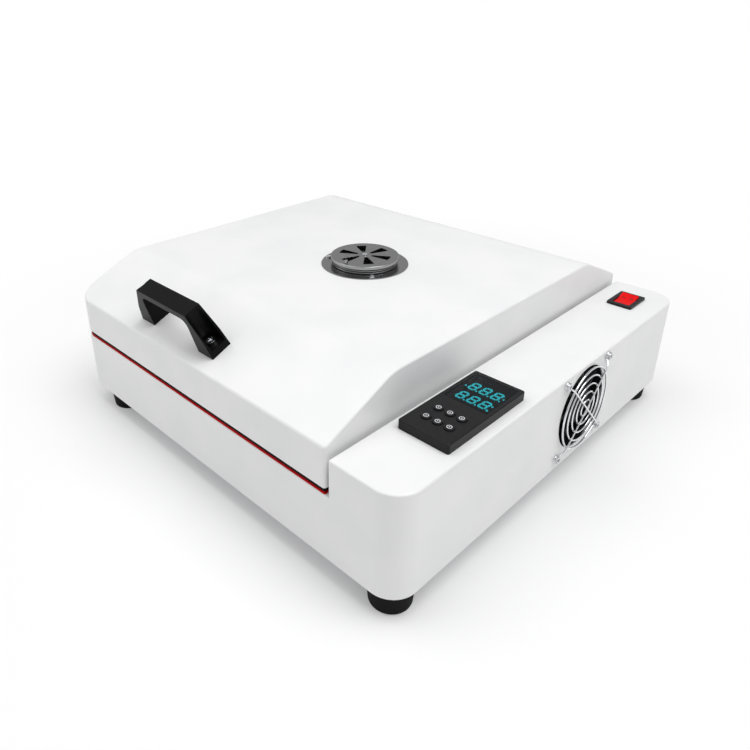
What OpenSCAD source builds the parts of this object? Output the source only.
/* [Body] */
// Width of the body, left to right
body_w = 460; // [440:5:520]
// Depth of the body, front to back
body_d = 470; // [450:5:560]
// Height of the control housing above the table
house_h = 120; // [119:1:140]
// Width of the control housing at the right
house_w = 68; // [66:1:90]
// Height of the oven side of the body, without the feet
tray_h = 61.5; // [58:0.5:70]
// Radius of the upright corners
corner_r = 24; // [20:1:40]
// Thickness of the sheet steel
sheet_t = 1.2; // [0.8:0.1:1.5]

/* [Feet] */
// Height of a rubber foot
foot_h = 23; // [16:1:40]
// Diameter of a foot at its top
foot_top_d = 39; // [32:1:44]
// Diameter of a foot where it stands
foot_low_d = 35; // [28:1:40]

/* [Lid] */
// Height of the upright lip round the lid
lip_h = 38; // [36:1:50]
// Rise of each slope, from the lip to the flat top
lid_rise = 33.5; // [28:0.5:45]
// Depth of each slope, seen from above
slope_d = 76; // [60:1:100]
// Height of the gap between base and lid
part_gap = 5.5; // [5:0.1:7]
// Width of the slot between lid and housing
slot_w = 3.5; // [2.5:0.1:6]
// Angle at which the open lid leans on its hinges
open_a = 95; // [85:1:100]

/* [Chamber] */
// Width of the steel rim round the chamber
rim_w = 24; // [20:1:30]
// Height of the chamber floor above the underside of the body
floor_rise = 20; // [17:0.5:24]
// Diameter of a tubular heating element
heater_d = 8; // [6:0.5:9]
// Pitch of the rack's cross wires
rack_pitch = 24; // [16:1:30]

/* [Vent] */
// Diameter of the vent's flange
vent_flange_d = 93.5; // [88:0.5:110]
// Diameter of the turning cap
vent_cap_d = 73; // [70:0.5:78]
// Inner diameter of the duct through the lid
duct_d = 60; // [50:1:61]

/* [Handle] */
// Length of the handle over both feet
handle_l = 118; // [100:1:150]
// Height of the handle off the slope
handle_h = 42.5; // [36:0.5:55]
// Thickness of the grip
grip_t = 6.5; // [5:0.5:10]

/* [Controls] */
// Width of the temperature controller
ctl_w = 48.5; // [46:0.5:56]
// Depth of the temperature controller
ctl_d = 105; // [100:1:120]
// Height of the controller above the housing
ctl_rise = 8.3; // [7:0.1:12]
// Diameter of a key
key_d = 8.5; // [6:0.1:9]
// Travel of a key
key_travel = 0.8; // [0.4:0.1:1]
// Angle that the power rocker tips
rocker_a = 20; // [14:1:24]

/* [Fan] */
// Side of the square fan frame
fan_w = 87.5; // [80:0.5:92]
// Thickness of the fan
fan_t = 25.4; // [20:0.1:28]
// Diameter of the guard wire
guard_wire_d = 1.8; // [1.4:0.1:2.4]

/* [Hidden] */
$fn = 96;
// How far a cut runs past the face that it opens
over = 1;
// Clearance of a running fit
fit = 0.05;
// Clearance all round a piece that is set into another
gap = 0.2;
// Clearance between pieces that move past each other
run_gap = 0.3;
// Smallest corner radius that is drawn
least_r = 0.5;

// Heights above the table
under_z = foot_h;
rim_z = under_z + tray_h;
lid_z = rim_z + part_gap;
lip_z = lid_z + lip_h;
top_z = lip_z + lid_rise;
flange_top_z = under_z + 2 * sheet_t;

// Places across the body, from its left wall
split_x = body_w - house_w;
lid_w = split_x - slot_w;
slope_a = atan(lid_rise / slope_d);
lid_edge_r = 2;
house_mid_x = split_x + house_w / 2;

// Bottom flange of the shell and the plate that it carries
flange_w = 14;
slot_l = 40;
slot_cut_w = 3;
slot_pitch = 9;
slot_count = 5;
slot_row_shares = [0.32, 0.66];

// Screws: shaft radius, head radius, head height, nut radius and nut height
m3_r = 1.5;
m3_head_r = 2.8;
m3_head_h = 1.6;
m3_nut_r = 3.2;
m3_nut_h = 2.4;
m4_r = 2;
m4_head_r = 3.7;
m4_head_h = 2;
m4_nut_r = 4;
m4_nut_h = 3;
m5_r = 2.5;
m5_head_r = 4.6;
m5_head_h = 3;
m5_nut_r = 4.6;
m5_nut_h = 4;
recess_share = 0.55;

// Feet: how far each centre lies from the walls beside it
foot_in_right = 24;
foot_in_left = 44;
foot_in_front = 24;
foot_in_back = 28;
foot_bore_r = 7;
foot_web = 10;
foot_places = [
    [foot_in_left, foot_in_front],
    [body_w - foot_in_right, foot_in_front],
    [foot_in_left, body_d - foot_in_back],
    [body_w - foot_in_right, body_d - foot_in_back],
];
case_screw_shares = [0.3, 0.7];
case_screw_l = 6;

// Chamber: the opening in the rim, and the pan that hangs in it
chamber_x0 = rim_w;
chamber_x1 = split_x - rim_w;
chamber_y0 = rim_w;
chamber_y1 = body_d - rim_w;
chamber_w = chamber_x1 - chamber_x0;
chamber_d = chamber_y1 - chamber_y0;
chamber_r = 8;
floor_z = under_z + floor_rise;
liner_t = 0.8;
liner_flange = 8;
wool_t = 9;
wool_low_t = 10;

// Gasket: a flat band with a bead along its inner side
gasket_in = 1.2;
gasket_w = 9;
gasket_t = 2.6;
bead_w = 4;

// Heating elements: two tubes laid to and fro, with both ends in the housing
heater_r = heater_d / 2;
heater_lift = 5;
heater_z = floor_z + heater_lift + heater_r;
heater_in = 36;
heater_side = 7;
run_count = 4;
run_pitch = (chamber_d - 2 * heater_in) / (2 * run_count - 1);
bend_r = run_pitch / 2;
bend_x0 = chamber_x0 + heater_side + heater_r + bend_r;
bend_x1 = chamber_x1 - heater_side - heater_r - bend_r;
heater_out = 10;
heater_end_x = split_x + heater_out;
terminal_r = 1.5;
terminal_l = 8;
terminal_x = heater_end_x + terminal_l;
front_run_y = chamber_y0 + heater_in;
rear_run_y = front_run_y + run_count * run_pitch;
bracket_shares = [0.28, 0.8];
bracket_w = 12;
bracket_bar_t = 2;
saddle_w = 14;
saddle_rise = 3;

// Ceramic bushings where the tubes leave the chamber
bushing_wall = 2.5;
bushing_l = 8;
bushing_flange_w = 2;
bushing_flange_t = 1.5;
bushing_r = heater_r + gap + bushing_wall;

// Wire rack and the brackets that it lies on
rack_over = 9;
rack_under_z = heater_z + heater_r + rack_over;
rack_frame_r = 2;
rack_wire_r = 1.2;
rack_side = 4;
rack_z = rack_under_z + rack_frame_r;
rack_x0 = chamber_x0 + rack_side + rack_frame_r;
rack_x1 = chamber_x1 - rack_side - rack_frame_r;
rack_y0 = chamber_y0 + rack_side + rack_frame_r;
rack_y1 = chamber_y1 - rack_side - rack_frame_r;
rack_long_shares = [0.25, 0.5, 0.75];
support_t = 1.5;
support_w = 30;
support_h = 15;
support_shelf = 12;
support_shares = [0.2, 0.8];

// Temperature probe
probe_r = 3;
probe_l = 58;
probe_lift = 5;
probe_nut_r = 5.8;
probe_nut_h = 5;
probe_y = (chamber_y0 + chamber_y1) / 2;
probe_z = heater_z + probe_lift;
probe_out = 8;
probe_end_x = split_x + probe_out;

// Partition between chamber and housing
wall_x = split_x + sheet_t;
wall_over = 12;
wall_hole_gap = 1.5;

// Hinges at the back: bracket with two cheeks, leaf with one barrel, pin
hinge_shares = [0.193, 0.807];
hinge_off = 4.2;
hinge_z = rim_z + part_gap / 2;
hinge_y = body_d + hinge_off;
knuckle_r = hinge_off - run_gap;
hinge_pin_r = 2;
pin_head_r = 3.2;
pin_head_t = 1;
cheek_t = 4;
cheek_gap_w = 44;
leaf_t = 2;
leaf_w = cheek_gap_w - 2 * run_gap;
leaf_h = 30;
bracket_h = 38;
cheek_out = 11.8;
cheek_low = 6;
hinge_out = hinge_off + cheek_out;
// Height of the open lid's back face where the cheeks end, seen from the pin
lean_run = (cheek_out + hinge_off * cos(open_a)) / sin(open_a);
lean_v = hinge_off * sin(open_a) + lean_run * cos(open_a) - run_gap;
hinge_screw_in = 13;
hinge_screw_low = 32;
hinge_screw_high = 14;
leaf_screw_up = 20;
back_screw_l = 5;

// Lid shell, liner and insulation
return_w = 12;
liner_lip_in = 4;
ceiling_drop = 5;
ceiling_z = lip_z - ceiling_drop;
lid_wool_t = 7;
slope_t = sheet_t / cos(slope_a);

// Vent on the flat top
vent_x_share = 0.5624;
vent_x = lid_w * vent_x_share;
vent_y_share = 0.484;
vent_y = body_d * vent_y_share;
duct_r = duct_d / 2;
duct_t = 1;
duct_rise = 2;
vent_flange_t = 1;
neck_t = 1.4;
neck_r = duct_r + duct_t + gap + neck_t;
fixed_disc_z = 7;
fixed_disc_t = 1;
cap_z = fixed_disc_z + fixed_disc_t + run_gap;
cap_t = 1.5;
cap_r = vent_cap_d / 2;
cap_skirt = 3.4;
cap_skirt_t = 1.2;
vent_rib_t = 1.1;
vent_rib_z = [1.9, 4];
vent_rib_out = 1;
wedge_count = 6;
wedge_a = 24;
wedge_from_a = 21;
wedge_in_r = 8;
wedge_rim = 2;
rivet_r = 1.5;
rivet_head_r = 3;
rivet_head_t = 1;
turn_pin_a = -85;
turn_pin_r = 2;
turn_pin_h = 4;
turn_pin_in = 4.5;
vent_screw_a = 83;
vent_screw_count = 3;
// The flange's screws take their size from the room between the ribs and its edge
vent_screw_room = vent_flange_d / 2 - cap_r + vent_rib_out;
vent_screw_in_share = 0.42;
vent_screw_share = 0.1335;
vent_head_share = 0.25;
vent_head_h_share = 0.142;
vent_screw_in = vent_screw_room * vent_screw_in_share;
vent_screw_r = vent_screw_room * vent_screw_share;
vent_head_r = vent_screw_room * vent_head_share;
vent_head_h = vent_screw_room * vent_head_h_share;
vent_screw_l = 5;

// Handle on the front slope: places along the slope, and heights off it
handle_x_share = 0.4517;
handle_x = lid_w * handle_x_share;
foot_s0 = 15;
foot_s1 = 37;
grip_s0 = 19.5;
foot_l = 22;
knee_n = 17.5;
knee_in = 5;
shoulder_in = 19;
arch_r = 8;
pocket_r = 7;
pocket_n = 6;
handle_screw_in = 12.5;
handle_screw_s = 27;
handle_screw_l = 13;

// Controller: a raised black case with window, digits, board and six keys
ctl_y0 = 66;
ctl_mid_y = ctl_y0 + ctl_d / 2;
ctl_top = house_h + ctl_rise;
ctl_r = 2;
ctl_lip = 2;
ctl_deep = 22;
ctl_wall = 1.5;
ctl_face_t = 2;
window_w = 41;
window_d = 47;
window_t = 1.2;
window_in = 77;
window_y = ctl_y0 + window_in;
window_lip = 2;
display_w = 35;
display_d = 39;
display_t = 3.2;
board_t = 1.6;
digit_t = 0.6;
display_top = ctl_top - window_t - run_gap - digit_t;
board_top = display_top - display_t;
digit_pitch = 10.8;
digit_rows_in = [84, 66.3];
digit_rows = [for (row = digit_rows_in) ctl_y0 + row];
digit_half_w = 3;
digit_half_h = 5.2;
bar_half = 0.6;
bar_gap = 0.3;
slant_share = 0.12;
point_r = 0.7;
point_out = 2;
lamp_r = 0.8;
lamps = [[-17.5, 80.9], [14.6, 88.1], [17.4, 83.4], [16.6, 68.2], [16.6, 60.7]];
key_pitch = 11;
key_rows_in = [34.5, 18.5];
key_rows = [for (row = key_rows_in) ctl_y0 + row];
keys_in_row = 3;
last_key = keys_in_row * len(key_rows) - 1;
key_rise = 1.2;
key_flange = 1.2;
key_flange_t = 0.8;
key_stem_r = 1.5;
key_stem_l = 0.5;
key_seat_gap = 0.1;
switch_w = 6;

// Power rocker and its frame
rocker_off = 1.25;
rocker_x = house_mid_x - rocker_off;
rocker_y_in = 49.25;
rocker_y = body_d - rocker_y_in;
rocker_frame_w = 26.5;
rocker_frame_d = 37.5;
rocker_frame_t = 2.5;
rocker_body_w = 24;
rocker_body_d = 35;
rocker_body_h = 25;
rocker_hole_w = 18.2;
rocker_hole_d = 27.6;
rocker_floor = 2;
rocker_w = rocker_hole_w - 2 * run_gap;
rocker_half_d = 12.3;
rocker_pivot_drop = 7;
rocker_valley = 5.5;
rocker_low_r = 9;
rocker_stud_r = 2;
rocker_stud_l = 1.4;
rocker_pivot_z = house_h + rocker_frame_t - rocker_pivot_drop;

// Fan, its hole in the wall, and the guard outside
fan_y_share = 0.563;
fan_y = body_d * fan_y_share;
fan_roof_gap = 0.3;
fan_z = house_h - sheet_t - fan_roof_gap - fan_w / 2;
fan_x1 = body_w - sheet_t;
fan_x0 = fan_x1 - fan_t;
fan_rim = 2;
fan_bore_r = fan_w / 2 - fan_rim;
fan_hole_in = 4.75;
fan_pitch = fan_w - 2 * fan_hole_in;
fan_corner_r = 4;
fan_wall_r = fan_bore_r - least_r;
strut_t = 3;
strut_w = 6;
motor_r = 19;
boss_r = 5;
boss_l = 9;
shaft_r = 1.5;
hub_r = 18;
hub_t = 1.5;
hub_z0 = 5;
hub_z1 = 23;
blade_count = 7;
blade_t = 1.6;
blade_pitch_a = 50;
blade_z0 = 6;
blade_z1 = 22;
blade_gap = 1.5;
guard_r = guard_wire_d / 2;
guard_ring_count = 5;
guard_ring_step = (fan_wall_r - least_r) / guard_ring_count;
guard_ring_out = 3.6;
guard_weld = 0.2;
guard_cross_out = guard_ring_out + guard_wire_d - guard_weld;
guard_bend_out = 5.25;
guard_bend_r = guard_ring_count * guard_ring_step + guard_bend_out;
eye_r = 3.2;
eye_out = guard_r;
guard_out = guard_cross_out + guard_r + fit;
fan_screw_out = 2 * guard_r;

// Power inlet with its fuse drawer, on the back wall
inlet_side = 21;
inlet_x = split_x + inlet_side;
inlet_up = 49;
inlet_z = under_z + inlet_up;
inlet_flange_w = 34;
inlet_flange_h = 58;
inlet_flange_t = 2.4;
inlet_body_w = 28;
inlet_body_h = 42;
inlet_deep = 27;
socket_w = 24;
socket_h = 17;
socket_deep = 17;
socket_up = 9;
inlet_pin_w = 2;
inlet_pin_h = 4;
inlet_pin_pitch = 7;
inlet_pin_stop = 6;
inlet_pin_tail = 6;
earth_up = 3;
inlet_screw_up = 24.5;
drawer_w = 20;
drawer_h = 10;
drawer_down = 9;
drawer_l = 26;
drawer_face = 1.2;
drawer_wall = 1.2;
fuse_r = 2.5;
fuse_cap_r = 2.7;
fuse_cap_l = 5;
fuse_l = 20;
fuse_in = 2;

// Relay on its heat sink, and the terminal block
sink_w = 38;
sink_d = 60;
sink_h = 26;
sink_base_t = 5;
fin_t = 2;
fin_count = 6;
sink_side = 10;
sink_x = split_x + sink_side;
sink_in = 26;
sink_y = ctl_y0 + sink_in;
relay_w = 30;
relay_d = 44;
relay_h = 22;
block_w = 20;
block_d = 60;
block_h = 16;
block_side = 9;
block_x = split_x + block_side;
block_y_share = 0.702;
block_y = body_d * block_y_share;
block_ways = 6;
block_screw_shares = [0.25, 0.75];
block_screw_r = 2.4;
block_screw_deep = 3;

// Inner leads
lead_r = 1.2;
lead_side = 7;

// Outer limits of the whole oven, which put its origin in the middle of the bottom
mid_x = (body_w + guard_out) / 2;
mid_y = (body_d + hinge_out) / 2;

// Moves what is drawn from the body's front left corner to the part's own origin
module place() {
    translate([-mid_x, -mid_y, 0]) children();
}

// Rounded rectangle with its corner at the origin, left and right corners with their own radii
module rounded(size, left_r, right_r) {
    translate([left_r, 0]) square([size.x - left_r - right_r, size.y]);
    translate([0, left_r]) square([size.x / 2, size.y - 2 * left_r]);
    translate([size.x / 2, right_r]) square([size.x / 2, size.y - 2 * right_r]);
    for (y = [left_r, size.y - left_r]) translate([left_r, y]) circle(left_r);
    for (y = [right_r, size.y - right_r]) translate([size.x - right_r, y]) circle(right_r);
}

// Upright block on the body's plan, drawn in by an inset
module plan_block(inset, z0, z1) {
    r = corner_r - inset;
    translate([inset, inset, z0]) linear_extrude(z1 - z0)
        rounded([body_w - 2 * inset, body_d - 2 * inset], r, r);
}

// Upright block on the lid's plan, drawn in by an inset
module lid_block(inset, z0, z1) {
    translate([inset, inset, z0]) linear_extrude(z1 - z0)
        rounded(
            [lid_w - 2 * inset, body_d - 2 * inset],
            corner_r - inset,
            max(lid_edge_r - inset, least_r)
        );
}

// Upright block on the chamber's plan, let out by a margin
module chamber_block(margin, z0, z1) {
    r = chamber_r + margin;
    translate([chamber_x0 - margin, chamber_y0 - margin, z0]) linear_extrude(z1 - z0)
        rounded([chamber_w + 2 * margin, chamber_d + 2 * margin], r, r);
}

// Block centred in plan on a place, from one height to another
module centred_block(place_xy, w, d, z0, z1) {
    translate([place_xy.x - w / 2, place_xy.y - d / 2, z0]) cube([w, d, z1 - z0]);
}

// Cylinders along X and along Y
module rod_x(p, r, l) {
    translate(p) rotate([0, 90, 0]) cylinder(r = r, h = l);
}

module rod_y(p, r, l) {
    translate(p) rotate([-90, 0, 0]) cylinder(r = r, h = l);
}

// Screw that points down, with its head's seat at height zero and a cross in the head
module pan_screw(shaft_r, shaft_l, head_r, head_h) {
    cross_w = head_r / 4;
    difference() {
        union() {
            translate([0, 0, -shaft_l]) cylinder(r = shaft_r, h = shaft_l + head_h / 2);
            cylinder(r = head_r, h = head_h);
        }
        translate([0, 0, head_h * (1 - recess_share)]) {
            translate([-cross_w / 2, -head_r * recess_share, 0])
                cube([cross_w, 2 * head_r * recess_share, head_h]);
            translate([-head_r * recess_share, -cross_w / 2, 0])
                cube([2 * head_r * recess_share, cross_w, head_h]);
        }
    }
}

// Six-sided nut with its lower face at height zero
module nut(shaft_r, nut_r, nut_h) {
    difference() {
        cylinder(r = nut_r, h = nut_h, $fn = 6);
        translate([0, 0, -over]) cylinder(r = shaft_r + fit, h = nut_h + 2 * over);
    }
}

// The four screw places round the fan, as seen along X
function fan_corners() = [
    for (side = [-1, 1], level = [-1, 1]) [fan_y + side * fan_pitch / 2, fan_z + level * fan_pitch / 2]
];

// Places of the screws in the bottom plate
function case_screw_places() = concat(
    [for (share = case_screw_shares, y = [0, 1])
        [body_w * share, y == 0 ? sheet_t + flange_w / 2 : body_d - sheet_t - flange_w / 2]],
    [for (share = case_screw_shares, x = [0, 1])
        [x == 0 ? sheet_t + flange_w / 2 : body_w - sheet_t - flange_w / 2, body_d * share]]
);

// Where the heating tubes leave the chamber
function tube_ends() = [
    for (first = [front_run_y, rear_run_y], run = [0, run_count - 1]) first + run * run_pitch
];

// Hinge centres along X
function hinge_places() = [for (share = hinge_shares) lid_w * share];

// Screws of the base brackets: place along X and height
function bracket_screw_places() = [
    for (x = hinge_places(), side = [-1, 1], low = [hinge_screw_low, hinge_screw_high])
        [x + side * hinge_screw_in, hinge_z - low]
];

function leaf_screw_places() = [
    for (x = hinge_places(), side = [-1, 1]) [x + side * hinge_screw_in, hinge_z + leaf_screw_up]
];

// Shell of the body: low oven side and tall housing in one sheet, open below
module body_shell() {
    color("white") place() difference() {
        union() {
            plan_block(0, under_z, rim_z);
            intersection() {
                plan_block(0, rim_z - sheet_t, house_h);
                translate([split_x, 0, under_z]) cube([house_w, body_d, house_h - under_z]);
            }
        }
        plan_block(sheet_t, under_z - over, under_z + sheet_t);
        plan_block(sheet_t + flange_w, under_z, under_z + 3 * sheet_t);
        plan_block(sheet_t, flange_top_z, rim_z - sheet_t);
        intersection() {
            plan_block(sheet_t, flange_top_z, house_h - sheet_t);
            translate([wall_x, 0, under_z]) cube([house_w, body_d, house_h - under_z]);
        }
        chamber_block(0, rim_z - 2 * sheet_t, rim_z + over);
        centred_block([house_mid_x, ctl_mid_y], ctl_w - 2 * ctl_lip, ctl_d - 2 * ctl_lip,
            house_h - 2 * sheet_t, house_h + over);
        centred_block([rocker_x, rocker_y], rocker_body_w + 2 * gap, rocker_body_d + 2 * gap,
            house_h - 2 * sheet_t, house_h + over);
        rod_x([fan_x1 - over, fan_y, fan_z], fan_wall_r, sheet_t + 2 * over);
        for (c = fan_corners()) rod_x([fan_x1 - over, c.x, c.y], m4_r + gap, sheet_t + 2 * over);
        back_block(inlet_x, inlet_z, inlet_body_w + 2 * gap, inlet_body_h + 2 * gap,
            body_d - sheet_t - over, body_d + over);
        for (up = [-inlet_screw_up, inlet_screw_up])
            rod_y([inlet_x, body_d - sheet_t - over, inlet_z + up], m3_r + gap, sheet_t + 2 * over);
        for (p = bracket_screw_places())
            rod_y([p.x, body_d - sheet_t - over, p.y], m4_r + gap, sheet_t + 2 * over);
        for (p = case_screw_places())
            translate([p.x, p.y, under_z]) cylinder(r = m3_r + fit, h = 3 * sheet_t);
    }
}

// Plate that closes the body from below, inside the walls and under the flange
module bottom_plate() {
    color("gainsboro") place() difference() {
        plan_block(sheet_t + gap, under_z, under_z + sheet_t);
        for (p = case_screw_places())
            translate([p.x, p.y, under_z - over]) cylinder(r = m3_r + gap, h = sheet_t + 2 * over);
        for (p = foot_places)
            translate([p.x, p.y, under_z - over]) cylinder(r = m5_r + gap, h = sheet_t + 2 * over);
        for (share = slot_row_shares, i = [0:slot_count - 1])
            centred_block(
                [house_mid_x + (i - (slot_count - 1) / 2) * slot_pitch, body_d * share],
                slot_cut_w, slot_l, under_z - over, under_z + sheet_t + over
            );
    }
}

module case_screws() {
    color("silver") place()
        for (p = case_screw_places())
            translate([p.x, p.y, under_z]) rotate([180, 0, 0])
                pan_screw(m3_r, case_screw_l, m3_head_r, m3_head_h);
}

// Tapered rubber feet, each with a bore for its screw's head
module feet() {
    color("#1c1c1c") place()
        for (p = foot_places)
            translate([p.x, p.y, 0]) difference() {
                cylinder(d1 = foot_low_d, d2 = foot_top_d, h = foot_h);
                translate([0, 0, -over]) cylinder(r = foot_bore_r, h = foot_h - foot_web + over);
                cylinder(r = m5_r + gap, h = foot_h + over);
            }
}

module foot_screws() {
    color("silver") place()
        for (p = foot_places)
            translate([p.x, p.y, 0]) {
                translate([0, 0, foot_h - foot_web]) rotate([180, 0, 0])
                    pan_screw(m5_r, foot_web + sheet_t + m5_nut_h + over, m5_head_r, m5_head_h);
                translate([0, 0, under_z + sheet_t]) nut(m5_r, m5_nut_r, m5_nut_h);
            }
}

// Steel pan of the chamber, hung under the rim by its flange
module chamber_liner() {
    color("lightgray") place() difference() {
        union() {
            chamber_block(liner_t, floor_z - liner_t, rim_z - sheet_t);
            chamber_block(liner_flange, rim_z - sheet_t - liner_t, rim_z - sheet_t);
        }
        chamber_block(0, floor_z, rim_z);
        for (y = tube_ends())
            rod_x([chamber_x1 - over, y, heater_z], bushing_r + gap, liner_t + 2 * over);
        rod_x([chamber_x1 - over, probe_y, probe_z], probe_r + gap, liner_t + 2 * over);
    }
}

// Mineral wool under and round the pan
module base_insulation() {
    color("khaki") place() difference() {
        chamber_block(liner_t + wool_t, floor_z - liner_t - wool_low_t, rim_z - sheet_t - liner_t);
        chamber_block(liner_t + gap, floor_z - liner_t, rim_z);
        for (y = tube_ends())
            rod_x([chamber_x1, y, heater_z], bushing_r + gap, liner_t + wool_t + over);
        rod_x([chamber_x1, probe_y, probe_z], probe_r + gap, liner_t + wool_t + over);
    }
}

// Upright plate between the hot side and the housing
module partition_plate() {
    color("gainsboro") place() difference() {
        translate([wall_x, sheet_t + gap, flange_top_z])
            cube([sheet_t, body_d - 2 * (sheet_t + gap), rim_z + wall_over - flange_top_z]);
        for (y = tube_ends())
            rod_x([wall_x - over, y, heater_z], heater_r + wall_hole_gap, sheet_t + 2 * over);
        rod_x([wall_x - over, probe_y, probe_z], probe_r + gap, sheet_t + 2 * over);
    }
}

// Red silicone seal on the rim
module gasket() {
    bead_in = gasket_in + gasket_w - bead_w;
    color("firebrick") place() difference() {
        union() {
            lid_block(gasket_in, rim_z, rim_z + gasket_t);
            lid_block(bead_in, rim_z, lid_z - run_gap);
        }
        lid_block(gasket_in + gasket_w, rim_z - over, lid_z);
    }
}

// One heating tube: runs along X joined by half rings, and a pin at each end
module heater(first_y) {
    last = run_count - 1;
    for (run = [0:last]) {
        end_run = run == 0 || run == last;
        x1 = end_run ? heater_end_x : bend_x1;
        rod_x([bend_x0, first_y + run * run_pitch, heater_z], heater_r, x1 - bend_x0);
        if (end_run)
            rod_x([heater_end_x - over, first_y + run * run_pitch, heater_z],
                terminal_r, terminal_l + over);
    }
    for (run = [0:last - 1])
        translate([run % 2 == 0 ? bend_x0 : bend_x1, first_y + (run + 0.5) * run_pitch, heater_z])
            rotate([0, 0, run % 2 == 0 ? 90 : -90])
                rotate_extrude(angle = 180) translate([bend_r, 0]) circle(heater_r);
}

module heater_front() {
    color("darkgray") place() heater(front_run_y);
}

module heater_rear() {
    color("darkgray") place() heater(rear_run_y);
}

// Two bars on the chamber floor with an open saddle under each run
module heater_brackets() {
    color("silver") place()
        for (share = bracket_shares) {
            x = chamber_x0 + share * chamber_w;
            difference() {
                union() {
                    translate([x - bracket_w / 2, chamber_y0 + chamber_r, floor_z])
                        cube([bracket_w, chamber_d - 2 * chamber_r, bracket_bar_t]);
                    for (run = [0:2 * run_count - 1])
                        centred_block([x, front_run_y + run * run_pitch], bracket_w, saddle_w,
                            floor_z, heater_z + saddle_rise);
                }
                for (run = [0:2 * run_count - 1]) {
                    y = front_run_y + run * run_pitch;
                    rod_x([x - bracket_w, y, heater_z], heater_r + fit, 2 * bracket_w);
                    centred_block([x, y], 2 * bracket_w, heater_d + 2 * fit, heater_z, heater_z + heater_d);
                }
            }
        }
}

module heater_bushings() {
    color("ivory") place()
        for (y = tube_ends())
            difference() {
                union() {
                    rod_x([chamber_x1 - over, y, heater_z], bushing_r, bushing_l + over);
                    rod_x([chamber_x1 - bushing_flange_t, y, heater_z],
                        bushing_r + bushing_flange_w, bushing_flange_t);
                }
                rod_x([chamber_x1 - 2 * bushing_flange_t, y, heater_z], heater_r + fit,
                    bushing_l + 3 * bushing_flange_t);
            }
}

// Wire rack that carries the film above the tubes
module film_rack() {
    rack_w = rack_x1 - rack_x0;
    rack_d = rack_y1 - rack_y0;
    wires = floor(rack_d / rack_pitch) - 1;
    first = rack_y0 + (rack_d - wires * rack_pitch) / 2;
    color("silver") place() {
        for (y = [rack_y0, rack_y1]) rod_x([rack_x0, y, rack_z], rack_frame_r, rack_w);
        for (x = [rack_x0, rack_x1]) rod_y([x, rack_y0, rack_z], rack_frame_r, rack_d);
        for (x = [rack_x0, rack_x1], y = [rack_y0, rack_y1]) translate([x, y, rack_z]) sphere(rack_frame_r);
        for (i = [0:wires])
            rod_x([rack_x0, first + i * rack_pitch, rack_z + rack_wire_r / 2], rack_wire_r, rack_w);
        for (share = rack_long_shares)
            rod_y([rack_x0 + share * rack_w, rack_y0, rack_z - rack_wire_r / 2], rack_wire_r, rack_d);
    }
}

// Angle brackets on the chamber walls, with their shelf under the rack's frame
module rack_supports() {
    color("silver") place()
        for (share = support_shares, side = [0, 1]) {
            x = side == 0 ? chamber_x0 : chamber_x1 - support_t;
            shelf_x = side == 0 ? chamber_x0 : chamber_x1 - support_shelf;
            y = chamber_y0 + share * chamber_d - support_w / 2;
            translate([x, y, rack_under_z - support_h]) cube([support_t, support_w, support_h]);
            translate([shelf_x, y, rack_under_z - support_t]) cube([support_shelf, support_w, support_t]);
        }
}

// Probe through the chamber's right wall, with its nut inside
module temp_probe() {
    color("silver") place() {
        rod_x([chamber_x1 - probe_l, probe_y, probe_z], probe_r, probe_end_x - chamber_x1 + probe_l);
        translate([chamber_x1 - probe_nut_h, probe_y, probe_z]) rotate([0, 90, 0])
            cylinder(r = probe_nut_r, h = probe_nut_h, $fn = 6);
    }
}

// Black case of the controller: flange on the housing, body through its top
module controller_bezel() {
    body_w_in = ctl_w - 2 * ctl_lip - 2 * gap;
    body_d_in = ctl_d - 2 * ctl_lip - 2 * gap;
    low = house_h - ctl_deep;
    color("#151515") place() difference() {
        union() {
            translate([house_mid_x - ctl_w / 2, ctl_y0, house_h]) linear_extrude(ctl_rise)
                rounded([ctl_w, ctl_d], ctl_r, ctl_r);
            centred_block([house_mid_x, ctl_mid_y], body_w_in, body_d_in, low, house_h + ctl_rise / 2);
        }
        centred_block([house_mid_x, ctl_mid_y], body_w_in - 2 * ctl_wall, body_d_in - 2 * ctl_wall,
            low + ctl_wall, ctl_top - ctl_face_t);
        centred_block([house_mid_x, window_y], window_w, window_d, ctl_top - window_t, ctl_top + over);
        centred_block([house_mid_x, window_y], window_w - 2 * window_lip, window_d - 2 * window_lip,
            ctl_top - 2 * ctl_face_t, ctl_top + over);
        for (i = [0:last_key])
            translate(concat(key_place(i), [ctl_top - 2 * ctl_face_t]))
                cylinder(d = key_d + 2 * run_gap, h = 3 * ctl_face_t);
    }
}

module display_window() {
    color("#202428") place()
        centred_block([house_mid_x, window_y], window_w - 2 * gap, window_d - 2 * gap,
            ctl_top - window_t, ctl_top);
}

// Outline of one bar of a digit, from a to b, with pointed ends and leaning as digits do
module bar(a, b) {
    l = norm(b - a);
    along = (b - a) / l;
    across = [-along.y, along.x] * bar_half;
    p = a + along * bar_gap;
    q = b - along * bar_gap;
    tip = along * bar_half;
    outline = [p, p + tip + across, q - tip + across, q, q - tip - across, p + tip - across];
    polygon([for (o = outline) [o.x + o.y * slant_share, o.y]]);
}

// A digit with all seven bars and its point
module digit() {
    w = digit_half_w;
    h = digit_half_h;
    for (y = [-h, 0, h]) bar([-w, y], [w, y]);
    for (x = [-w, w], y = [-h, 0]) bar([x, y], [x, y + h]);
    translate([w + point_out, -h]) circle(point_r);
}

module display_digits() {
    color("cyan") place() translate([house_mid_x, 0, display_top]) linear_extrude(digit_t) {
        for (row = digit_rows, i = [-1:1]) translate([i * digit_pitch, row]) digit();
        for (l = lamps) translate([l.x, ctl_y0 + l.y]) circle(lamp_r);
    }
}

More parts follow.
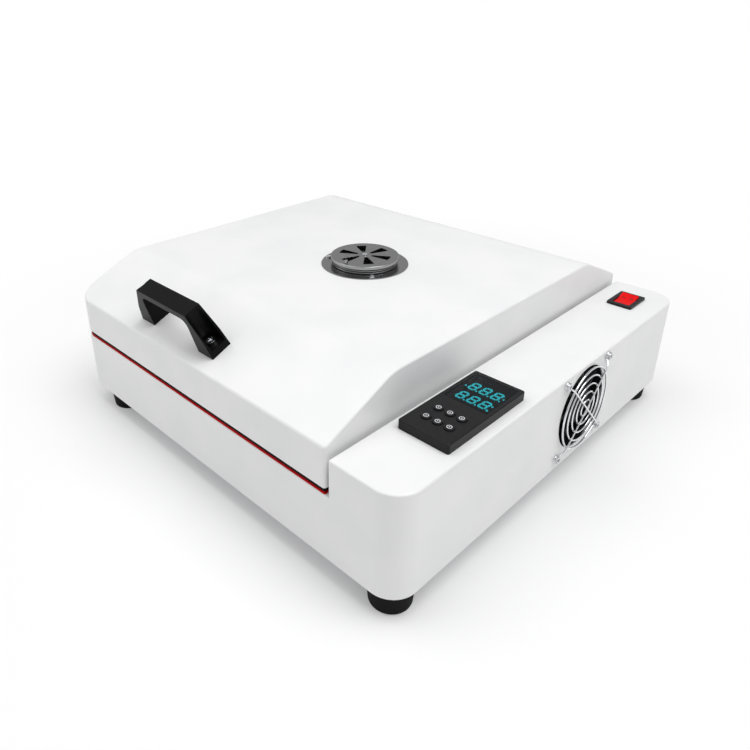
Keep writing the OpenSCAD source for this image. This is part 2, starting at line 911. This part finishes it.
// Board with the display's block and a push switch under each key
module controller_board() {
    board_w = ctl_w - 2 * ctl_lip - 2 * ctl_wall - 4 * gap;
    board_d = ctl_d - 2 * ctl_lip - 2 * ctl_wall - 4 * gap;
    key_low = ctl_top - ctl_face_t - key_seat_gap - key_flange_t - key_stem_l;
    color("darkgreen") place() {
        centred_block([house_mid_x, ctl_mid_y], board_w, board_d, board_top - board_t, board_top);
        centred_block([house_mid_x, window_y], display_w, display_d, board_top - board_t / 2, display_top);
        for (i = [0:last_key])
            centred_block(key_place(i), switch_w, switch_w, board_top - board_t / 2,
                key_low - key_travel - key_seat_gap);
    }
}

// Place of a key, counted along the rows from the display side
function key_place(i) = [
    house_mid_x + (i % keys_in_row - (keys_in_row - 1) / 2) * key_pitch,
    key_rows[floor(i / keys_in_row)]
];

// Round key with the flange that keeps it in the case, and its stem
module key(i) {
    plate_low = ctl_top - ctl_face_t;
    flange_z = plate_low - key_seat_gap - key_flange_t;
    color("whitesmoke") place() translate(concat(key_place(i), [0])) {
        translate([0, 0, flange_z]) cylinder(d = key_d, h = ctl_top + key_rise - flange_z);
        translate([0, 0, flange_z]) cylinder(r = key_d / 2 + key_flange, h = key_flange_t);
        translate([0, 0, flange_z - key_stem_l]) cylinder(r = key_stem_r, h = key_stem_l + key_flange_t);
    }
}

module rocker_bezel() {
    color("#151515") place() difference() {
        union() {
            translate([rocker_x - rocker_frame_w / 2, rocker_y - rocker_frame_d / 2, house_h])
                linear_extrude(rocker_frame_t) rounded([rocker_frame_w, rocker_frame_d], ctl_r, ctl_r);
            centred_block([rocker_x, rocker_y], rocker_body_w, rocker_body_d,
                house_h - rocker_body_h, house_h + rocker_frame_t / 2);
        }
        centred_block([rocker_x, rocker_y], rocker_hole_w, rocker_hole_d,
            house_h - rocker_body_h + rocker_floor, house_h + rocker_frame_t + over);
        rod_x([rocker_x - rocker_body_w, rocker_y, rocker_pivot_z], rocker_stud_r + fit, 2 * rocker_body_w);
    }
}

// Red rocker with two slopes that meet in a valley, its front end pressed at rest
module rocker() {
    half = rocker_half_d;
    peak = rocker_valley + half * tan(rocker_a / 2);
    color("red") place() translate([rocker_x, rocker_y, rocker_pivot_z]) rotate([rocker_a / 2, 0, 0]) {
        translate([-rocker_w / 2, 0, 0]) rotate([90, 0, 90]) linear_extrude(rocker_w) {
            polygon([[-half, 0], [half, 0], [half, peak], [0, rocker_valley], [-half, peak]]);
            intersection() {
                circle(rocker_low_r);
                translate([-rocker_low_r, -rocker_low_r]) square([2 * rocker_low_r, rocker_low_r + over]);
            }
        }
        rod_x([-rocker_w / 2 - rocker_stud_l, 0, 0], rocker_stud_r, rocker_w + 2 * rocker_stud_l);
    }
}

// Square fan frame with its struts and the bearing boss, against the right wall
module fan_frame() {
    color("#1c1c1c") place() translate([fan_x0, fan_y, fan_z]) rotate([90, 0, 90]) {
        difference() {
            translate([-fan_w / 2, -fan_w / 2]) linear_extrude(fan_t)
                rounded([fan_w, fan_w], fan_corner_r, fan_corner_r);
            translate([0, 0, -over]) cylinder(r = fan_bore_r, h = fan_t + 2 * over);
            for (x = [-1, 1], y = [-1, 1]) translate([x * fan_pitch / 2, y * fan_pitch / 2, -over])
                cylinder(r = m4_r + gap, h = fan_t + 2 * over);
        }
        difference() {
            union() {
                cylinder(r = motor_r, h = strut_t);
                cylinder(r = boss_r, h = boss_l);
                for (a = [45:90:315]) rotate([0, 0, a]) translate([0, -strut_w / 2, 0])
                    cube([fan_bore_r + over, strut_w, strut_t]);
            }
            translate([0, 0, strut_t / 2]) cylinder(r = shaft_r + fit, h = boss_l);
        }
    }
}

// Rotor: cup, shaft and pitched blades
module fan_rotor() {
    blade_r = fan_bore_r - blade_gap;
    color("#2a2a2a") place() translate([fan_x0, fan_y, fan_z]) rotate([90, 0, 90]) {
        difference() {
            translate([0, 0, hub_z0]) cylinder(r = hub_r, h = hub_z1 - hub_z0);
            translate([0, 0, hub_z0 - over])
                cylinder(r = hub_r - hub_t, h = hub_z1 - hub_z0 - hub_t + over);
        }
        translate([0, 0, strut_t / 2 + gap])
            cylinder(r = shaft_r, h = hub_z1 - strut_t / 2 - gap - hub_t / 2);
        for (i = [0:blade_count - 1])
            intersection() {
                difference() {
                    translate([0, 0, blade_z0]) cylinder(r = blade_r, h = blade_z1 - blade_z0);
                    translate([0, 0, blade_z0 - over])
                        cylinder(r = hub_r - hub_t / 2, h = blade_z1 - blade_z0 + 2 * over);
                }
                rotate([0, 0, i * 360 / blade_count])
                    translate([0, 0, (blade_z0 + blade_z1) / 2]) rotate([blade_pitch_a, 0, 0])
                        translate([hub_r / 2, -blade_t / 2, -fan_t])
                            cube([blade_r, blade_t, 2 * fan_t]);
            }
    }
}

// Wire guard: rings, two crossing wires in front, and an eye at each screw
module fan_guard() {
    eye_at = fan_pitch / 2 * sqrt(2);
    color("silver") place() translate([body_w, fan_y, fan_z]) rotate([90, 0, 90]) {
        for (i = [1:guard_ring_count])
            translate([0, 0, guard_ring_out]) rotate_extrude()
                translate([i * guard_ring_step, 0]) circle(guard_r);
        for (a = [45, 135]) rotate([0, 0, a])
            translate([0, 0, guard_cross_out]) rotate([0, 90, 0])
                translate([0, 0, -guard_bend_r]) cylinder(r = guard_r, h = 2 * guard_bend_r);
        for (a = [45:90:315]) rotate([0, 0, a]) {
            drop = guard_cross_out - eye_out;
            run = eye_at - eye_r - guard_bend_r;
            translate([guard_bend_r, 0, guard_cross_out]) sphere(guard_r + fit);
            translate([guard_bend_r, 0, guard_cross_out]) rotate([0, 90 + atan(drop / run), 0])
                cylinder(r = guard_r, h = norm([drop, run]));
            translate([eye_at, 0, eye_out]) rotate_extrude() translate([eye_r, 0]) circle(guard_r);
        }
    }
}

// Screws through guard, wall and fan, with their nuts on the fan's inner face
module fan_screws() {
    color("silver") place()
        for (c = fan_corners()) {
            translate([body_w + fan_screw_out, c.x, c.y]) rotate([0, 90, 0])
                pan_screw(m4_r, fan_screw_out + sheet_t + fan_t + m4_nut_h + over, m4_head_r, m4_head_h);
            translate([fan_x0 - m4_nut_h, c.x, c.y]) rotate([0, 90, 0]) nut(m4_r, m4_nut_r, m4_nut_h);
        }
}

// Block centred on a place of the back wall, from one depth to another
module back_block(x, z, w, h, y0, y1) {
    translate([x - w / 2, y0, z - h / 2]) cube([w, y1 - y0, h]);
}

module inlet_body() {
    face_y = body_d + inlet_flange_t;
    back_y = body_d - inlet_deep;
    color("#181818") place() difference() {
        union() {
            back_block(inlet_x, inlet_z, inlet_flange_w, inlet_flange_h, body_d, face_y);
            back_block(inlet_x, inlet_z, inlet_body_w, inlet_body_h, back_y, body_d + inlet_flange_t / 2);
        }
        back_block(inlet_x, inlet_z + socket_up, socket_w, socket_h, face_y - socket_deep, face_y + over);
        back_block(inlet_x, inlet_z - drawer_down, drawer_w, drawer_h,
            face_y - drawer_l - gap, face_y + over);
        for (up = [-inlet_screw_up, inlet_screw_up])
            rod_y([inlet_x, body_d - over, inlet_z + up], m3_r + gap, inlet_flange_t + 2 * over);
        for (p = inlet_pin_places())
            back_block(p.x, p.y, inlet_pin_w + 2 * fit, inlet_pin_h + 2 * fit, back_y - over, face_y);
    }
}

// Places of the three inlet pins on the back wall
function inlet_pin_places() = [
    for (i = [-1:1]) [inlet_x + i * inlet_pin_pitch, inlet_z + socket_up + (i == 0 ? earth_up : 0)]
];

module inlet_pins() {
    color("silver") place()
        for (p = inlet_pin_places())
            back_block(p.x, p.y, inlet_pin_w, inlet_pin_h,
                body_d - inlet_deep - inlet_pin_tail, body_d + inlet_flange_t - inlet_pin_stop);
}

module inlet_screws() {
    color("silver") place()
        for (up = [-inlet_screw_up, inlet_screw_up]) {
            translate([inlet_x, body_d + inlet_flange_t, inlet_z + up]) rotate([-90, 0, 0])
                pan_screw(m3_r, inlet_flange_t + sheet_t + m3_nut_h + over, m3_head_r, m3_head_h);
            translate([inlet_x, body_d - sheet_t, inlet_z + up]) rotate([90, 0, 0])
                nut(m3_r, m3_nut_r, m3_nut_h);
        }
}

// Drawer under the socket: face with a finger lip, and a trough for the fuse
module fuse_drawer() {
    face_y = body_d + inlet_flange_t;
    z = inlet_z - drawer_down;
    w = drawer_w - 2 * gap;
    h = drawer_h - 2 * gap;
    hollow_w = w / 2 - fuse_cap_r - 2 * drawer_wall;
    color("#202020") place() difference() {
        back_block(inlet_x, z, w, h, face_y - drawer_l, face_y + drawer_face);
        translate([inlet_x - fuse_cap_r - fit, face_y - fuse_in - fuse_l - gap, z - fuse_cap_r - fit])
            cube([2 * (fuse_cap_r + fit), fuse_l + 2 * gap, h]);
        for (side = [-1, 1])
            back_block(inlet_x + side * (w / 2 - drawer_wall - hollow_w / 2), z + drawer_wall,
                hollow_w, h, face_y - drawer_l + drawer_wall, face_y - drawer_wall);
    }
}

// Glass fuse with a metal cap at each end
module fuse() {
    y0 = body_d + inlet_flange_t - fuse_in - fuse_l;
    z = inlet_z - drawer_down;
    color("lightyellow") place() {
        rod_y([inlet_x, y0, z], fuse_r, fuse_l);
        for (y = [y0, y0 + fuse_l - fuse_cap_l]) rod_y([inlet_x, y, z], fuse_cap_r, fuse_cap_l);
    }
}

// Aluminium heat sink on the bottom plate: fins below, flat seat for the relay above
module heatsink() {
    z0 = under_z + sheet_t;
    fin_step = (sink_w - fin_t) / (fin_count - 1);
    color("silver") place() translate([sink_x, sink_y, z0]) {
        translate([0, 0, sink_h - sink_base_t]) cube([sink_w, sink_d, sink_base_t]);
        for (i = [0:fin_count - 1]) translate([i * fin_step, 0, 0]) cube([fin_t, sink_d, sink_h]);
    }
}

module relay() {
    z0 = under_z + sheet_t + sink_h;
    color("#d8d4c8") place()
        translate([sink_x + (sink_w - relay_w) / 2, sink_y + (sink_d - relay_d) / 2, z0])
            cube([relay_w, relay_d, relay_h]);
}

// Terminal block on the bottom plate with a screw well at each way
module terminal_block() {
    way = block_d / block_ways;
    color("ivory") place() translate([block_x, block_y, under_z + sheet_t]) difference() {
        cube([block_w, block_d, block_h]);
        for (i = [0:block_ways - 1], share = block_screw_shares)
            translate([block_w * share, (i + 0.5) * way, block_h - block_screw_deep])
                cylinder(r = block_screw_r, h = block_screw_deep + over);
    }
}

// Lead through a list of places: straight stretches with round joints between them
module lead(route) {
    for (i = [0:len(route) - 2]) {
        way = route[i + 1] - route[i];
        l = norm(way);
        turn = atan2(way.y, way.x);
        tilt = acos(way.z / l);
        translate(route[i]) rotate([0, tilt, turn]) cylinder(r = lead_r, h = l);
    }
    for (i = [1:len(route) - 2]) translate(route[i]) sphere(lead_r + fit);
}

// Leads between the tubes, relay, terminal block, controller, switch and inlet
module inner_wiring() {
    ends = tube_ends();
    bend_x = terminal_x + lead_side;
    block_mid_x = block_x + block_w / 2;
    block_lead_z = under_z + sheet_t + block_h / 2;
    relay_y0 = sink_y + (sink_d - relay_d) / 2;
    relay_y1 = relay_y0 + relay_d;
    relay_lead_z = under_z + sheet_t + sink_h + relay_h / 2;
    relay_top = under_z + sheet_t + sink_h + relay_h;
    relay_x = sink_x + sink_w / 2;
    inlet_back = body_d - inlet_deep;
    inlet_low_z = inlet_z - inlet_body_h / 4;
    color("#b02418") place() {
        lead([
            [terminal_x, ends[0], heater_z],
            [bend_x, ends[0], heater_z],
            [bend_x, relay_y0 - lead_side, relay_lead_z],
            [bend_x, relay_y0, relay_lead_z],
        ]);
        lead([
            [terminal_x, ends[1], heater_z],
            [bend_x, ends[1], heater_z],
            [bend_x, relay_y1 + lead_side, relay_lead_z],
            [bend_x, relay_y1, relay_lead_z],
        ]);
        lead([
            [terminal_x, ends[2], heater_z],
            [bend_x, ends[2], heater_z],
            [block_mid_x, block_y - lead_side, block_lead_z],
            [block_mid_x, block_y, block_lead_z],
        ]);
        lead([
            [terminal_x, ends[3], heater_z],
            [bend_x, ends[3], heater_z],
            [bend_x, block_y + block_d + lead_side, block_lead_z],
            [block_mid_x + lead_side, block_y + block_d + lead_side, block_lead_z],
            [block_mid_x + lead_side, block_y + block_d, block_lead_z],
        ]);
        lead([
            [block_mid_x, block_y + block_d, block_lead_z],
            [block_mid_x, inlet_back - lead_side, block_lead_z],
            [block_mid_x, inlet_back - lead_side, inlet_low_z],
            [block_mid_x, inlet_back, inlet_low_z],
        ]);
        lead([
            [relay_x, relay_y1 - lead_side, relay_top],
            [relay_x, relay_y1 - lead_side, house_h - ctl_deep],
        ]);
    }
}

// Outline of a bracket cheek beside the lid's barrel, seen from the right, pin at the origin
module cheek_outline() {
    circle(knuckle_r);
    polygon([
        [-hinge_off, -knuckle_r - bracket_h],
        [-hinge_off, -knuckle_r],
        [0, knuckle_r - gap],
        [cheek_out, lean_v],
        [cheek_out, lean_v - cheek_low],
        [leaf_t - hinge_off, -knuckle_r - bracket_h],
    ]);
}

module hinge_base_brackets() {
    color("silver") place()
        for (x = hinge_places())
            difference() {
                union() {
                    for (side = [-cheek_gap_w / 2 - cheek_t, cheek_gap_w / 2])
                        translate([x + side, hinge_y, hinge_z]) rotate([90, 0, 90])
                            linear_extrude(cheek_t) cheek_outline();
                    translate([x - cheek_gap_w / 2 - cheek_t, body_d, hinge_z - knuckle_r - bracket_h])
                        cube([cheek_gap_w + 2 * cheek_t, leaf_t, bracket_h - run_gap]);
                }
                rod_x([x - cheek_gap_w, hinge_y, hinge_z], hinge_pin_r + fit, 2 * cheek_gap_w);
                for (p = bracket_screw_places())
                    rod_y([p.x, body_d - over, p.y], m4_r + gap, leaf_t + 2 * over);
            }
}

module hinge_pins() {
    half = cheek_gap_w / 2 + cheek_t + fit;
    color("silver") place()
        for (x = hinge_places()) {
            rod_x([x - half, hinge_y, hinge_z], hinge_pin_r, 2 * half);
            for (end = [-half - pin_head_t, half])
                rod_x([x + end, hinge_y, hinge_z], pin_head_r, pin_head_t);
        }
}

// Screws that hold a hinge plate to a back wall, with their nuts inside
module back_screws(places) {
    for (p = places) {
        translate([p.x, body_d + leaf_t, p.y]) rotate([-90, 0, 0])
            pan_screw(m4_r, leaf_t + sheet_t + back_screw_l, m4_head_r, m4_head_h);
        translate([p.x, body_d - sheet_t, p.y]) rotate([90, 0, 0]) nut(m4_r, m4_nut_r, m4_nut_h);
    }
}

module hinge_base_screws() {
    color("silver") place() back_screws(bracket_screw_places());
}

// Outline of the lid from the side: lip, slope, flat top, slope, lip, drawn in by an inset
module lid_outline(inset) {
    steep = tan(slope_a);
    drop = inset == 0 ? 0 : slope_t;
    lip = lip_z + inset * steep - drop;
    top_in = (top_z - inset - lip_z + drop) / steep;
    low = inset == 0 ? lid_z : lid_z + sheet_t;
    polygon([
        [inset, low],
        [body_d - inset, low],
        [body_d - inset, lip],
        [body_d - top_in, top_z - inset],
        [top_in, top_z - inset],
        [inset, lip],
    ]);
}

// Places on the front slope are given along it and off it, from its lower edge
module on_slope() {
    translate([0, 0, lip_z]) rotate([slope_a, 0, 0]) children();
}

// Places of the handle's two screws along X
function handle_screw_places() = [
    for (side = [-1, 1]) handle_x + side * (handle_l / 2 - handle_screw_in)
];

function vent_screw_places() = [
    for (i = [0:vent_screw_count - 1])
        let (a = vent_screw_a + i * 360 / vent_screw_count, r = vent_flange_d / 2 - vent_screw_in)
            [vent_x + r * cos(a), vent_y + r * sin(a)]
];

// Lid of sheet steel, with a flange turned in below
module lid_shell() {
    color("white") place() difference() {
        intersection() {
            lid_block(0, lid_z, top_z);
            translate([-over, 0, 0]) rotate([90, 0, 90]) linear_extrude(lid_w + 2 * over) lid_outline(0);
        }
        intersection() {
            lid_block(sheet_t, lid_z, top_z);
            rotate([90, 0, 90]) linear_extrude(lid_w) lid_outline(sheet_t);
        }
        lid_block(sheet_t + return_w, lid_z - over, lid_z + 2 * sheet_t);
        translate([vent_x, vent_y, top_z - 2 * sheet_t])
            cylinder(r = duct_r + duct_t + gap, h = 3 * sheet_t);
        for (p = vent_screw_places())
            translate([p.x, p.y, top_z - 2 * sheet_t])
                cylinder(r = vent_screw_r + fit, h = 3 * sheet_t);
        for (x = handle_screw_places())
            on_slope() translate([x, handle_screw_s, -3 * sheet_t])
                cylinder(r = m5_r + gap, h = 4 * sheet_t);
        for (p = leaf_screw_places())
            rod_y([p.x, body_d - sheet_t - over, p.y], m4_r + gap, sheet_t + 2 * over);
    }
}

// Steel pan that lines the lid, its flange on the lid's own
module lid_liner() {
    low = lid_z + sheet_t;
    color("lightgray") place() difference() {
        union() {
            chamber_block(liner_t, low, ceiling_z + liner_t);
            intersection() {
                lid_block(liner_lip_in, low, low + liner_t);
                translate([0, 0, low]) cube([lid_w, body_d, liner_t]);
            }
        }
        chamber_block(0, low - over, ceiling_z);
        translate([vent_x, vent_y, ceiling_z - over]) cylinder(r = duct_r, h = liner_t + 2 * over);
    }
}

module lid_insulation() {
    low = ceiling_z + liner_t;
    color("khaki") place() difference() {
        chamber_block(0, low, low + lid_wool_t);
        translate([vent_x, vent_y, low - over])
            cylinder(r = duct_r + duct_t + gap, h = lid_wool_t + 2 * over);
    }
}

// Leaf on the lid's back lip with the barrel that turns between the cheeks
module hinge_lid_leaves() {
    leaf_low = part_gap / 2 + run_gap;
    color("silver") place()
        for (x = hinge_places())
            difference() {
                translate([x - leaf_w / 2, hinge_y, hinge_z]) rotate([90, 0, 90]) linear_extrude(leaf_w) {
                    circle(knuckle_r);
                    polygon([
                        [0, 0],
                        [-hinge_off, leaf_low],
                        [-hinge_off, leaf_low + leaf_h],
                        [leaf_t - hinge_off, leaf_low + leaf_h],
                        [leaf_t - hinge_off, 2 * leaf_low],
                        [knuckle_r * cos(45), knuckle_r * sin(45)],
                    ]);
                }
                rod_x([x - leaf_w, hinge_y, hinge_z], hinge_pin_r + fit, 2 * leaf_w);
                for (p = leaf_screw_places())
                    rod_y([p.x, body_d - over, p.y], m4_r + gap, leaf_t + 2 * over);
            }
}

module hinge_leaf_screws() {
    color("silver") place() back_screws(leaf_screw_places());
}

// Bridge handle: outline from the front cut to its outline from the side
module handle() {
    half = handle_l / 2;
    finger_w = handle_l - 2 * foot_l;
    under = handle_h - grip_t;
    color("#1a1a1a") place() on_slope() difference() {
        intersection() {
            translate([handle_x, foot_s1, 0]) rotate([90, 0, 0]) linear_extrude(foot_s1 - foot_s0) polygon([
                [-half, 0],
                [half, 0],
                [half - knee_in, knee_n],
                [half - shoulder_in, handle_h],
                [shoulder_in - half, handle_h],
                [knee_in - half, knee_n],
            ]);
            translate([handle_x - half, 0, 0]) rotate([90, 0, 90]) linear_extrude(handle_l) polygon([
                [foot_s0, 0],
                [foot_s1, 0],
                [foot_s1, handle_h],
                [grip_s0, handle_h],
            ]);
        }
        translate([handle_x, foot_s1 + over, 0]) rotate([90, 0, 0])
            linear_extrude(foot_s1 - foot_s0 + 2 * over) {
            translate([-finger_w / 2, -over]) square([finger_w, under - arch_r + over]);
            translate([arch_r - finger_w / 2, -over]) square([finger_w - 2 * arch_r, under + over]);
            for (side = [-1, 1]) translate([side * (finger_w / 2 - arch_r), under - arch_r]) circle(arch_r);
        }
        for (side = [-1, 1]) translate([handle_x + side * (half - handle_screw_in), handle_screw_s, 0]) {
            translate([0, 0, pocket_n]) cylinder(r = pocket_r, h = handle_h);
            translate([side > 0 ? 0 : -handle_l, -pocket_r, pocket_n])
                cube([handle_l, 2 * pocket_r, handle_h]);
            translate([0, 0, -over]) cylinder(r = m5_r + gap, h = pocket_n + 2 * over);
        }
    }
}

module handle_screws() {
    color("silver") place() on_slope()
        for (x = handle_screw_places()) {
            translate([x, handle_screw_s, pocket_n]) pan_screw(m5_r, handle_screw_l, m5_head_r, m5_head_h);
            translate([x, handle_screw_s, -sheet_t - m5_nut_h]) nut(m5_r, m5_nut_r, m5_nut_h);
        }
}

// The wedge slots that both discs of the vent have, as a flat outline
module wedges() {
    out_r = duct_r - wedge_rim;
    for (i = [0:wedge_count - 1]) rotate(wedge_from_a + i * 360 / wedge_count)
        intersection() {
            difference() {
                circle(out_r);
                circle(wedge_in_r);
            }
            polygon([
                [0, 0],
                [2 * out_r, -2 * out_r * tan(wedge_a / 2)],
                [2 * out_r, 2 * out_r * tan(wedge_a / 2)],
            ]);
        }
}

// Fixed part of the vent: flange, ribbed neck and slotted disc
module vent_base() {
    color("silver") place() translate([vent_x, vent_y, top_z]) difference() {
        union() {
            cylinder(d = vent_flange_d, h = vent_flange_t);
            cylinder(r = neck_r, h = fixed_disc_z + fixed_disc_t);
            for (z = vent_rib_z) translate([0, 0, z]) cylinder(r = cap_r - vent_rib_out, h = vent_rib_t);
        }
        translate([0, 0, -over]) cylinder(r = neck_r - neck_t, h = fixed_disc_z + over);
        translate([0, 0, fixed_disc_z - over]) linear_extrude(fixed_disc_t + 2 * over) wedges();
        cylinder(r = rivet_r + fit, h = fixed_disc_z + 2 * fixed_disc_t);
        for (p = vent_screw_places())
            translate([p.x - vent_x, p.y - vent_y, -over])
                cylinder(r = vent_screw_r + gap, h = vent_flange_t + 2 * over);
    }
}

// Turning cap: slotted disc with a skirt, and the pin that it is turned by
module vent_damper() {
    pin_at = cap_r - turn_pin_in;
    color("silver") place() translate([vent_x, vent_y, top_z]) difference() {
        union() {
            translate([0, 0, cap_z]) cylinder(r = cap_r, h = cap_t);
            translate([0, 0, cap_z + cap_t - cap_skirt]) difference() {
                cylinder(r = cap_r, h = cap_skirt - cap_t / 2);
                translate([0, 0, -over]) cylinder(r = cap_r - cap_skirt_t, h = cap_skirt);
            }
            rotate([0, 0, turn_pin_a]) translate([pin_at, 0, cap_z + cap_t / 2])
                cylinder(r = turn_pin_r, h = turn_pin_h);
        }
        translate([0, 0, cap_z - over]) linear_extrude(cap_t + 2 * over) wedges();
        translate([0, 0, cap_z - over]) cylinder(r = rivet_r + fit, h = cap_t + 2 * over);
    }
}

module vent_rivet() {
    color("silver") place() translate([vent_x, vent_y, top_z]) {
        translate([0, 0, fixed_disc_z - rivet_head_t])
            cylinder(r = rivet_r, h = cap_z + cap_t - fixed_disc_z + 2 * rivet_head_t);
        translate([0, 0, cap_z + cap_t + fit]) cylinder(r = rivet_head_r, h = rivet_head_t);
        translate([0, 0, fixed_disc_z - rivet_head_t]) cylinder(r = rivet_head_r, h = rivet_head_t);
    }
}

// Duct between the lid's liner and the vent's neck
module vent_sleeve() {
    low = ceiling_z + liner_t;
    color("silver") place() translate([vent_x, vent_y, low]) difference() {
        cylinder(r = duct_r + duct_t, h = top_z + duct_rise - low);
        translate([0, 0, -over]) cylinder(r = duct_r, h = top_z + duct_rise - low + 2 * over);
    }
}

module vent_screws() {
    color("silver") place()
        for (p = vent_screw_places())
            translate([p.x, p.y, top_z + vent_flange_t])
                pan_screw(vent_screw_r, vent_screw_l, vent_head_r, vent_head_h);
}

body_shell();
bottom_plate();
case_screws();
feet();
foot_screws();
chamber_liner();
base_insulation();
partition_plate();
gasket();
heater_front();
heater_rear();
heater_brackets();
heater_bushings();
film_rack();
rack_supports();
temp_probe();
controller_bezel();
display_window();
display_digits();
controller_board();
key(0);  // key_1
key(1);  // key_2
key(2);  // key_3
key(3);  // key_4
key(4);  // key_5
key(5);  // key_6
rocker_bezel();
rocker();
fan_frame();
fan_rotor();
fan_guard();
fan_screws();
inlet_body();
inlet_pins();
inlet_screws();
fuse_drawer();
fuse();
relay();
heatsink();
terminal_block();
inner_wiring();
hinge_base_brackets();
hinge_pins();
hinge_base_screws();
lid_shell();
lid_liner();
lid_insulation();
hinge_lid_leaves();
hinge_leaf_screws();
handle();
handle_screws();
vent_base();
vent_sleeve();
vent_rivet();
vent_screws();
vent_damper();
